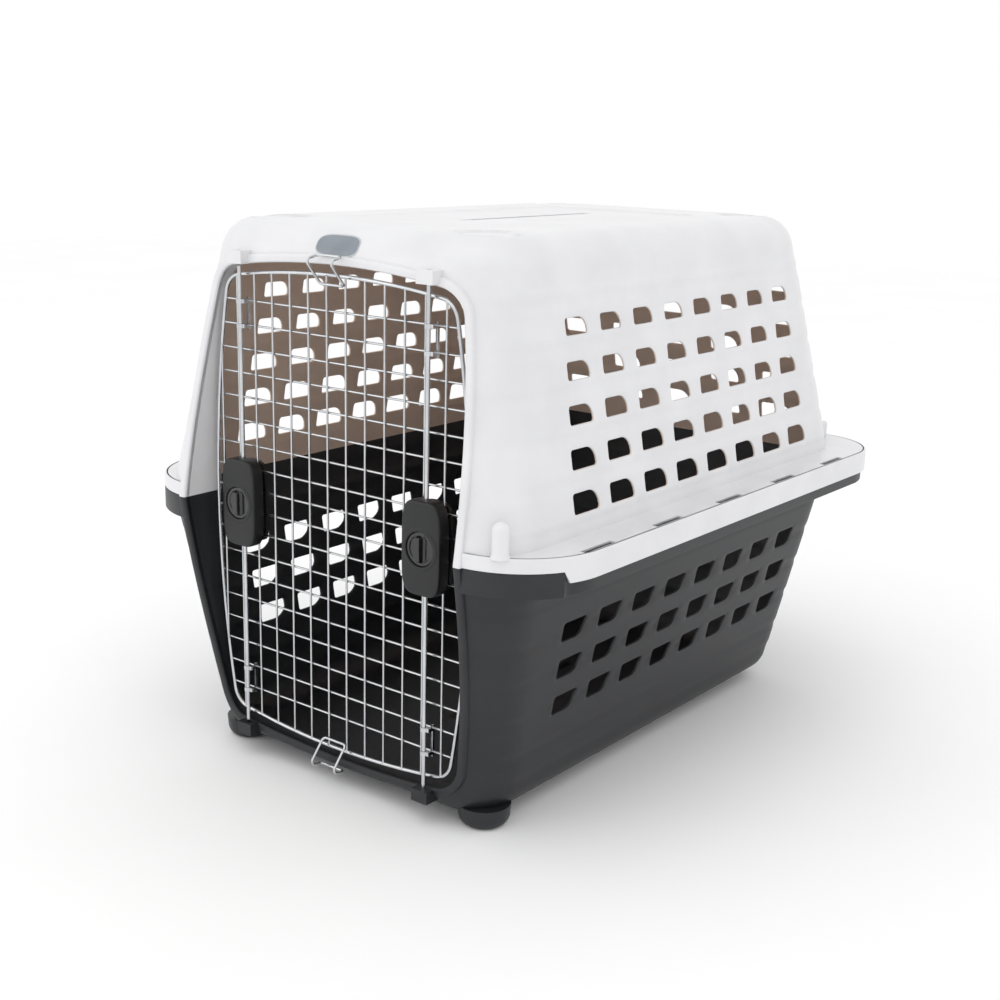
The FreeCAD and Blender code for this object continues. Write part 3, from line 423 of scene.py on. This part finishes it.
def doorway_jamb(upper):
    """The jamb: a 3 mm wall round the doorway from just behind the skin to behind the door."""
    points, out = doorway_path(upper)
    skin = front_skin(points[:, 0], points[:, 1], upper)[:, None]
    grow = np.array([0.0, 0.0, 0.0, 0.4, 2.6, WALL, WALL, WALL])
    deep = np.array([0.0, 0.5, 1.0, 1.0, 1.0, 1.0, 0.5, 0.0])
    y = skin + 0.5 + (JAMB_END - 0.4 - skin) * deep
    y[:, 3:5] += 0.4
    x = points[:, :1] + out[:, :1] * grow
    z = points[:, 1:] + out[:, 1:] * grow
    return swept(np.stack([x, y, z], -1))


def plate(outline, loops, low, high):
    """A flat plate between two heights, with holes through it."""
    flat, tris = sheet(np.zeros((0, 2)), [outline] + loops, loops, outline)
    tall = np.ones((len(flat), 1))
    return shell_welded(np.concatenate([flat, high * tall], 1), np.concatenate([flat, low * tall], 1), tris)


def rod_socket(side, upper):
    """The block behind the header or sill that a latch rod enters: a plate 15 mm thick with a bore."""
    edge = 541.0 - 13.0 * (ROD_X / 160.0) ** 2
    low, high = (edge + 1.0, edge + 14.0)
    if not upper:
        low, high = 2.0 * PARTING_Z - high, 2.0 * PARTING_Z - low
    turn = np.linspace(0.0, 2.0 * math.pi, 25)[:-1]
    square = np.array([[-10.0, -7.0], [10.0, -7.0], [10.0, 10.75], [-10.0, 10.75]]) + [side * ROD_X, ROD_Y]
    bore = np.stack([side * ROD_X + ROD_HOLE * np.cos(turn), ROD_Y + ROD_HOLE * np.sin(turn)], -1)
    return plate(square, [bore], low, high)


FLANGE_HALF, FLANGE_REAR = 280.0, 367.5
FLANGE_RADII = (95.0, 80.0)


def flange_path(inset):
    """The flange's outline on the right, from the front post round to the middle of the rear, then
    mirrored back to the left post, as points and outward directions."""
    front_r, rear_r = FLANGE_RADII
    first = np.linspace(-math.pi / 2.0, 0.0, 25)
    last = np.linspace(0.0, math.pi / 2.0, 25)
    side_y = np.linspace(FRONT_Y + front_r, FLANGE_REAR - rear_r, 42)[1:-1]
    rear_x = np.linspace(FLANGE_HALF - rear_r, 0.0, 9)[1:]
    x = np.concatenate([FLANGE_HALF - front_r + front_r * np.cos(first), 0.0 * side_y + FLANGE_HALF,
                        FLANGE_HALF - rear_r + rear_r * np.cos(last), rear_x])
    y = np.concatenate([FRONT_Y + front_r + front_r * np.sin(first), side_y,
                        FLANGE_REAR - rear_r + rear_r * np.sin(last), 0.0 * rear_x + FLANGE_REAR])
    nx = np.concatenate([np.cos(first), 0.0 * side_y + 1.0, np.cos(last), 0.0 * rear_x])
    ny = np.concatenate([np.sin(first), 0.0 * side_y, np.sin(last), 0.0 * rear_x + 1.0])
    points = np.stack([np.concatenate([x, -x[-2::-1]]), np.concatenate([y, y[-2::-1]])], -1)
    out = np.stack([np.concatenate([nx, -nx[-2::-1]]), np.concatenate([ny, ny[-2::-1]])], -1)
    return points - inset * out, out


def flange_band(profile, profile_front):
    """A band that follows the flange: a closed profile of inset and height, with another profile ahead
    of the step behind the front corners, the two meeting over 2 mm."""
    points, out = flange_path(0.0)
    mix = smooth(-308.0, -306.0, points[:, 1])[:, None]
    inset = profile_front[:, 0] * (1.0 - mix) + profile[:, 0] * mix
    z = profile_front[:, 1] * (1.0 - mix) + profile[:, 1] * mix
    x = points[:, :1] - out[:, :1] * inset
    y = points[:, 1:] - out[:, 1:] * inset
    return swept(np.stack([x, y, z], -1))


def flange_plate(inset, low, high, loops, upper):
    """The flange itself, from inside the tub's wall out to the inset, with the slots through it."""
    outer = flange_path(inset)[0]
    s = np.concatenate([np.linspace(MARKS[k], MARKS[k + 1], n + 1)[:-1]
                        for k, n in ((1, 12), (2, 10), (3, 12))])
    s = np.concatenate([s, [MARKS[4], 2.0 * HALF_LOOP - MARKS[4]], 2.0 * HALF_LOOP - s[::-1]])
    inner = tub_place(s, np.full(len(s), abs(low - PARTING_Z)), 1.5, upper)[:, :2]
    inner[0] = [outer[0, 0], outer[0, 1] + 1.0]
    inner[-1] = [outer[-1, 0], outer[-1, 1] + 1.0]
    return plate(np.concatenate([outer, inner[::-1]]), loops, low, high)


def joined(shells):
    """Several closed shells as one list of points, triangles and flags."""
    base = np.cumsum([0] + [len(p) for p, f, g in shells[:-1]])
    return (np.concatenate([p for p, f, g in shells]),
            np.concatenate([f + b for (p, f, g), b in zip(shells, base)]),
            np.concatenate([g for p, f, g in shells]))


def make_piece(name, made, materials, body, nodes=(), sharp=32.0):
    """The mesh in metres from whole arrays, smooth but for edges sharper than an angle, on its body."""
    points, faces, flag = made
    mesh = bpy.data.meshes.new(name)
    mesh.vertices.add(len(points))
    mesh.vertices.foreach_set("co", (points * 0.001).ravel())
    mesh.loops.add(3 * len(faces))
    mesh.loops.foreach_set("vertex_index", faces.ravel().astype(np.int32))
    mesh.polygons.add(len(faces))
    mesh.polygons.foreach_set("loop_start", 3 * np.arange(len(faces), dtype=np.int32))
    mesh.polygons.foreach_set("material_index", np.minimum(flag, len(materials) - 1).astype(np.int32))
    mesh.update(calc_edges=True)
    mesh.validate()
    mesh.shade_smooth()
    mesh.set_sharp_from_angle(angle=math.radians(sharp))
    for material in materials:
        mesh.materials.append(material)
    piece = bpy.data.objects.new(name, mesh)
    bpy.context.scene.collection.objects.link(piece)
    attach(piece, body)
    if nodes:
        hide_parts(*nodes)
    return piece


def colour(code):
    """Linear colour of an sRGB hex value: c/12.92 up to 0.04045, ((c + 0.055)/1.055)^2.4 above."""
    c = np.array([int(code[k:k + 2], 16) for k in (1, 3, 5)]) / 255.0
    return tuple(np.where(c <= 0.04045, c / 12.92, ((c + 0.055) / 1.055) ** 2.4)) + (1.0,)


def add_node(material, kind, inputs=None, links=None, **settings):
    """A shader node with its settings, its socket values, and links from other nodes' sockets."""
    made = material.node_tree.nodes.new(kind)
    for key, value in settings.items():
        setattr(made, key, value)
    for key, value in (inputs or {}).items():
        made.inputs[key].default_value = value
    for key, (source, socket) in (links or {}).items():
        material.node_tree.links.new(source.outputs[socket], made.inputs[key])
    return made


PLASTIC_IOR = 1.49
GRAIN_DEPTH = 0.0004        # metres, between a grain's foot and crest


def moulded(name, low, high, rough, patch, grain, bump, coat=0.0, coat_rough=0.2, metallic=0.0):
    """Moulded or drawn finish: two close colours in soft patches, a roughness that wanders with them,
    and a fine bump of the grain's size in metres."""
    material = bpy.data.materials.new(name)
    material.use_nodes = True
    tree = material.node_tree
    shader = tree.nodes["Principled BSDF"]
    shader.inputs["Metallic"].default_value = metallic
    shader.inputs["Coat Weight"].default_value = coat
    shader.inputs["Coat Roughness"].default_value = coat_rough
    if not metallic:
        shader.inputs["IOR"].default_value = PLASTIC_IOR
    where = add_node(material, "ShaderNodeTexCoord")
    soft = add_node(material, "ShaderNodeTexNoise", {"Scale": 1.0 / patch, "Detail": 3.0},
                    {"Vector": (where, "Object")})
    tint = add_node(material, "ShaderNodeValToRGB", None, {"Fac": (soft, "Fac")})
    tint.color_ramp.elements[0].position = 0.35
    tint.color_ramp.elements[0].color = colour(low)
    tint.color_ramp.elements[1].position = 0.65
    tint.color_ramp.elements[1].color = colour(high)
    tree.links.new(tint.outputs["Color"], shader.inputs["Base Color"])
    wander = add_node(material, "ShaderNodeMapRange", {"To Min": rough - 0.04, "To Max": rough + 0.05},
                      {"Value": (soft, "Fac")})
    tree.links.new(wander.outputs["Result"], shader.inputs["Roughness"])
    fine = add_node(material, "ShaderNodeTexNoise", {"Scale": 1.0 / grain, "Detail": 4.0},
                    {"Vector": (where, "Object")})
    relief = add_node(material, "ShaderNodeBump", {"Strength": bump, "Distance": GRAIN_DEPTH},
                      {"Height": (fine, "Fac")})
    tree.links.new(relief.outputs["Normal"], shader.inputs["Normal"])
    return material


# Charcoal polypropylene off a fine spark-eroded tool: a dark grey with a soft, broad sheen.
charcoal = moulded("charcoal_polypropylene", "#1B1C1F", "#212326", 0.44, 0.05, 0.0011, 0.25)


DISH_X, DISH_Y = 137.0, (-268.0, 223.0)
PANEL_HALF, PANEL_Y = (100.0, 186.0), -22.0


def roof_relief(points):
    """Depth below the roof's level: a 2 mm dish 30 mm in radius near each corner, and a panel
    between them sunk 1.4 mm, with a smooth step round it."""
    x, y = np.abs(points[:, 0]), points[:, 1]
    on_top = points[:, 2] > ROOF_Z - 8.0
    dish = 0.0
    for spot in DISH_Y:
        away = np.hypot(x - DISH_X, y - spot)
        dish = dish + 2.0 * (1.0 - smooth(26.5, 30.0, away))
    inside_x = PANEL_HALF[0] - x
    inside_y = PANEL_HALF[1] - np.abs(y - PANEL_Y)
    edge = np.minimum(inside_x, inside_y)
    panel = 1.4 * smooth(-3.0, 3.0, edge)
    return np.where(on_top, dish + panel, 0.0)


foot = ([0.0, 16.0, 20.0, 22.8, 24.8, 26.2, 27.0, 0.0], [0.0, 0.0, 1.0, 3.0, 6.0, 10.0, 22.0, 22.0])
FOOT_PLACES = ((169.0, -292.0), (120.0, 207.5))         # front pair and rear pair, right of the middle
feet = [turned(*foot, side * x, y) for side in (-1, 1) for x, y in FOOT_PLACES]
lip = np.array([[4.0, 263.0], [4.0, 285.0], [5.0, 286.0], [7.0, 286.0], [7.0, 262.0], [4.6, 262.0]])
lip_front = np.array([[0.0, 263.0], [0.0, 285.0], [1.0, 286.0], [7.0, 286.0], [7.0, 262.0], [0.6, 262.0]])
TAB_X, TAB_PITCH, TAB_HALF = 272.0, 121.7, 23.0
TAB_Y = -18.25 + TAB_PITCH * (np.arange(5) - 2.0)
tabs = [rounded_block((side * TAB_X - 2.0, y - TAB_HALF, 284.0),
                      (side * TAB_X + 2.0, y + TAB_HALF, 299.0), 0.6)
        for side in (-1, 1) for y in TAB_Y]
lower = joined([tub_shell(False), doorway_rim(False), doorway_jamb(False), rod_socket(-1, False),
                rod_socket(1, False), flange_band(lip, lip_front),
                flange_plate(5.0, PARTING_Z - WALL, PARTING_Z, [], False)] + feet + tabs)
make_piece("lower_tub", lower, [charcoal], "carrier", ["bottom_shell"])

# ---- 2. The upper tub ---------------------------------------------------------------------------
# The same moulding turned over, in pearl white polypropylene: roof with stacking dishes, more vents,
# a flange whose skirt hangs over the lower lip, slots that the snap tabs click into, an upright boss
# at the right front corner and two blocks on the rear flange. Its inner faces look taupe.
skirt = np.array([[0.0, 275.5], [0.0, 298.0], [0.3, 299.0], [1.0, 299.8], [2.2, 300.0], [3.6, 300.0],
                  [3.6, 297.0], [3.0, 296.0], [3.0, 275.0], [0.5, 275.0]])
skirt_front = skirt.copy()
skirt_front[:, 1] = np.where(skirt[:, 1] < 290.0, skirt[:, 1] + 11.0, skirt[:, 1])
slots = []
for side in (-1, 1):
    for middle in TAB_Y:
        corner = np.linspace(0.0, math.pi / 2.0, 4)
        angle = np.concatenate([corner, corner + math.pi / 2.0, corner + math.pi, corner + 1.5 * math.pi])
        sx = np.repeat([1.0, -1.0, -1.0, 1.0], 4)
        sy = np.repeat([1.0, 1.0, -1.0, -1.0], 4)
        slots.append(np.stack([side * TAB_X + 2.5 * sx + 1.0 * np.cos(angle),
                               middle + (TAB_HALF + 0.5) * sy + 1.0 * np.sin(angle)], -1))
dome = np.linspace(0.0, math.pi / 2.0, 9)
finger = (np.concatenate([[0.0, 9.6, 8.6, 8.0], 8.0 * np.cos(dome)]),
          np.concatenate([[297.0, 299.5, 301.5, 304.0], 325.0 + 8.0 * np.sin(dome)]))
FINGER_PLACE = (226.4, -350.4)
fingers = [turned(*finger, *FINGER_PLACE)]
BLOCK_X, BLOCK_HALF = 190.0, 15.0
blocks = [rounded_block((side * BLOCK_X - BLOCK_HALF, 322.0, 298.0),
                        (side * BLOCK_X + BLOCK_HALF, 353.5, 320.0), 3.0)
          for side in (-1, 1)]
# Pearl white polypropylene: a bright, faintly silvery skin with a satin coat from its mica.
pearl = moulded("pearl_white_polypropylene", "#DCDCDE", "#E2E2E4", 0.34, 0.06, 0.0014, 0.12, 0.35, 0.22)
# Inner face: the same resin, but the moulding shows duller and warmer inside.
taupe = moulded("taupe_inner_polypropylene", "#D6BFAF", "#DEC8B8", 0.58, 0.07, 0.0012, 0.2)
walls = tub_shell(True)
outside = joined([doorway_rim(True), doorway_jamb(True), rod_socket(-1, True), rod_socket(1, True),
                  flange_band(skirt, skirt_front), flange_plate(1.5, 297.0, 300.0, slots, True)]
                 + fingers + blocks)
upper = joined([walls, (outside[0], outside[1], np.zeros(len(outside[1]), int))])
make_piece("upper_tub", upper, [pearl, taupe], "carrier", ["top_shell"])

# ---- 3. The label -------------------------------------------------------------------------------
# A plain badge of printed film, stuck on the rounded header: a grey field inside a paler edge line.
# It carries no lettering, and it bows with the header's curve.
BADGE_HALF = (28.0, 10.0)
BADGE_POWER = 3.4
BADGE_Z = 559.0


def badge(grow, low, high):
    """The header's skin within a superellipse 56 by 20 mm, from one distance out to another."""
    angle = np.linspace(0.0, 2.0 * math.pi, 73)[:-1]
    radius = superellipse(angle, BADGE_HALF[0] + grow, BADGE_HALF[1] + grow, BADGE_POWER)
    share = np.linspace(0.2, 1.0, 5)[:, None]
    x = np.concatenate([[0.0], (share * radius * np.cos(angle)).ravel()])
    z = BADGE_Z + np.concatenate([[0.0], (share * radius * np.sin(angle)).ravel()])
    place = front_to_sheet(x, z, True)
    ring = net(5, len(angle), True) + 1
    j = np.arange(len(angle))
    hub = np.stack([np.zeros(len(angle), int), 1 + j, 1 + (j + 1) % len(angle)], 1)
    high_side = tub_place(place[:, 0], place[:, 1], -high, True)
    low_side = tub_place(place[:, 0], place[:, 1], -low, True)
    return shell_welded(high_side, low_side, np.concatenate([hub, ring[:, ::-1]]))


def superellipse(angle, a, b, power):
    """Radius at an angle of the curve |x/a|^n + |z/b|^n = 1."""
    return (np.abs(np.cos(angle) / a) ** power + np.abs(np.sin(angle) / b) ** power) ** (-1.0 / power)


def dress(nodes, material):
    """Gives CAD nodes a finish through their objects' material slots."""
    for name in nodes:
        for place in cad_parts[name].material_slots:
            place.material = material


# Grey and silver polyester film: even colour with a clear gloss over it.
film = moulded("grey_label_film", "#7B828A", "#828992", 0.3, 0.02, 0.0009, 0.05, 0.5, 0.1)
edge_film = moulded("silver_label_film", "#B9BDC1", "#C2C6CA", 0.3, 0.02, 0.0009, 0.05, 0.5, 0.1)
field = badge(-1.2, 0.2, 0.85)
border = badge(0.0, -0.6, 0.6)
label = joined([(field[0], field[1], np.zeros(len(field[1]), int)),
                (border[0], border[1], np.ones(len(border[1]), int))])
make_piece("header_label", label, [film, edge_film], "carrier", ["front_label"])

# ---- 4. The door --------------------------------------------------------------------------------
# A grid of drawn steel wire, resistance welded at each crossing inside a heavier bent frame, then
# chromed. Two bent hooks reach over the header and the sill; four guides hold the rods to the wires.
chrome = moulded("chromed_drawn_wire", "#C4C6C9", "#D2D4D6", 0.17, 0.03, 0.0012, 0.08, metallic=1.0)
dress(["door_frame_wire", "door_vertical_wires", "door_horizontal_wires", "top_hook", "bottom_hook",
       "rod_guides"], chrome)

# ---- 5. The latches -----------------------------------------------------------------------------
# Each latch is a moulded black housing in front of the mesh, screwed through it to a back plate. A
# glossy dial in its round seat turns a small acetal pinion between two racks, and the racks drive
# the steel rods up and down into the tubs' sockets.
HOUSING_A, HOUSING_B = 24.0, 46.5
HOUSING_POWER = 4.6         # how square the housing's outline is
LAND_HALF = (17.0, 36.5)    # the land behind, which the inner plate closes
DIAL_BACK_Y = -341.7
DIAL_R = 16.7
DIAL_RIM = 2.5
GRIP_RISE = 4.6


def latch_body(side):
    """The housing as rings round the dial's axis, from the middle of its back, over the land for the
    inner plate, the side with its rounded front edge, the raised bezel and into the dial's seat."""
    angle = np.linspace(0.0, 2.0 * math.pi, 145)[:-1]
    back = superellipse(angle, *LAND_HALF, 9.0)
    outer = [superellipse(angle, HOUSING_A - d, HOUSING_B - d, HOUSING_POWER)
             for d in (0.0, 0.15, 0.7, 1.6, 3.0)]
    ring = np.ones_like(angle)
    rows = [(0.001 * back, -332.35), (back, -332.35), (back, -330.3), (back + 0.3, -330.1),
            (outer[3], -330.1), (outer[1], -330.4), (outer[0], -331.3), (outer[0], -341.3),
            (outer[1], -342.6),
            (outer[2], -343.7), (outer[3], -344.2), (outer[4], -344.4), (21.4 * ring, -344.5),
            (20.8 * ring, -345.0), (20.0 * ring, -345.3), (18.2 * ring, -345.3), (17.4 * ring, -345.0),
            (17.1 * ring, -344.4), (17.0 * ring, -341.5), (16.6 * ring, -341.35), (0.001 * ring, -341.35)]
    radius = np.stack([r for r, y in rows])
    y = np.array([y for r, y in rows])[:, None] + 0.0 * angle
    points = np.stack([side * ROD_X + radius * np.cos(angle), y, PARTING_Z + radius * np.sin(angle)], -1)
    faces = net(len(rows), len(angle), True)
    return weld(points.reshape(-1, 3), faces, np.zeros(len(faces), int))


def dial_face(x, z):
    """Height of the dial's face: a low rim, two sunken half moons, and a rounded grip across them."""
    r = np.hypot(x, z)
    height = DIAL_RIM - 1.2 * (1.0 - smooth(12.6, 13.6, r)) * smooth(4.2, 5.4, np.abs(x))
    grip = (1.0 - smooth(2.4, 4.2, np.abs(x))) * (1.0 - smooth(11.4, 13.6, np.abs(z)))
    return height + GRIP_RISE * grip - 0.5 * smooth(15.9, 16.7, r)


def dial_body(side):
    """A disc of rings: a flat back, a short side and the face above it."""
    angle = np.linspace(0.0, 2.0 * math.pi, 145)[:-1]
    radius = np.concatenate([[0.0, DIAL_R - 0.1, DIAL_R], np.linspace(DIAL_R, 0.0, 42)])[:, None]
    x, z = radius * np.cos(angle), radius * np.sin(angle)
    lift = dial_face(x, z)
    lift[0:2] = 0.0
    lift[2] = 0.2
    points = np.stack([side * ROD_X + x, DIAL_BACK_Y - lift, PARTING_Z + z], -1)
    faces = net(len(radius), len(angle), True)
    return weld(points.reshape(-1, 3), faces, np.zeros(len(faces), int))


# Black ABS from a satin tool for the housings, and polished black ABS for the dials. The hidden
# metal is zinc plated, a dull grey, and the gear parts are natural acetal, an off-white.
satin = moulded("black_satin_abs", "#0E0F10", "#131416", 0.4, 0.03, 0.0009, 0.2)
gloss = moulded("black_polished_abs", "#0B0B0C", "#101112", 0.12, 0.03, 0.003, 0.02, 0.5, 0.05)
zinc = moulded("zinc_plated_steel", "#A9ABA8", "#BDBFBB", 0.3, 0.01, 0.0006, 0.15, metallic=1.0)
acetal = moulded("natural_acetal", "#DEDBD0", "#E8E5DB", 0.35, 0.02, 0.0008, 0.08)
for name, side in (("left", -1), ("right", 1)):
    make_piece(name + "_latch_case", latch_body(side), [satin], "door",
               [name + "_latch_housing"], 28.0)
    make_piece(name + "_dial_knob", dial_body(side), [gloss], name + "_dial_set",
               [name + "_dial"], 40.0)
    dress([name + "_latch_inner_plate", name + "_latch_back_plate"], satin)
    dress([name + "_upper_rod", name + "_lower_rod"], chrome)
    dress([name + "_upper_rack", name + "_lower_rack", name + "_pinion"], acetal)
dress(["latch_screws"], zinc)

# ---- 6. Floor, light and camera -----------------------------------------------------------------
# A plain pale floor under soft studio light: a white surround, one large soft panel overhead and a
# weaker one in front.
FLOOR_HALF = 6.0            # metres
floor_mesh = bpy.data.meshes.new("floor")
floor_corners = [(FLOOR_HALF * a, FLOOR_HALF * b, 0.0) for a, b in ((-1, -1), (1, -1), (1, 1), (-1, 1))]
floor_mesh.from_pydata(floor_corners, [], [(0, 1, 2, 3)])
floor_mesh.materials.append(moulded("white_paper_floor", "#FDFDFD", "#FFFFFF", 0.9, 0.4, 0.002, 0.02))
floor = bpy.data.objects.new("floor", floor_mesh)
bpy.context.scene.collection.objects.link(floor)

world = bpy.data.worlds.new("studio")
world.use_nodes = True
world.node_tree.nodes["Background"].inputs["Color"].default_value = (1.0, 1.0, 1.0, 1.0)
world.node_tree.nodes["Background"].inputs["Strength"].default_value = 1.0
bpy.context.scene.world = world
bpy.context.scene.view_settings.view_transform = "Standard"
LAMPS = (("overhead", (0.2, -1.2, 2.6), 2.2, 8.0),      # place and size in metres, watts
         ("front_left", (-1.7, -2.4, 1.3), 1.4, 5.0))
for name, place, size, power in LAMPS:
    light = bpy.data.lights.new(name, "AREA")
    light.size = size
    light.energy = power
    lamp = bpy.data.objects.new(name, light)
    lamp.location = place
    lamp.rotation_euler = (Vector((0.0, 0.0, 0.25)) - Vector(place)).to_track_quat("-Z", "Y").to_euler()
    bpy.context.scene.collection.objects.link(lamp)

CAMERA_PLACE = Vector((0.9841, -1.3323, 0.6742))
SENSOR_MM, LENS_MM = 36.0, 52.1
AZIMUTH, ELEVATION, ROLL = (math.radians(a) for a in (37.718, 14.512, 1.393))
back = Vector((math.sin(AZIMUTH) * math.cos(ELEVATION), -math.cos(AZIMUTH) * math.cos(ELEVATION),
               math.sin(ELEVATION)))
right = Vector((math.cos(AZIMUTH), math.sin(AZIMUTH), 0.0))
up = back.cross(right)
camera_data = bpy.data.cameras.new("camera")
camera_data.sensor_width = SENSOR_MM
camera_data.lens = LENS_MM
camera = bpy.data.objects.new("camera", camera_data)
turn = Matrix((right * math.cos(ROLL) + up * math.sin(ROLL),
               up * math.cos(ROLL) - right * math.sin(ROLL), back))
camera.matrix_world = Matrix.Translation(CAMERA_PLACE) @ turn.transposed().to_4x4()
bpy.context.scene.collection.objects.link(camera)
bpy.context.scene.camera = camera
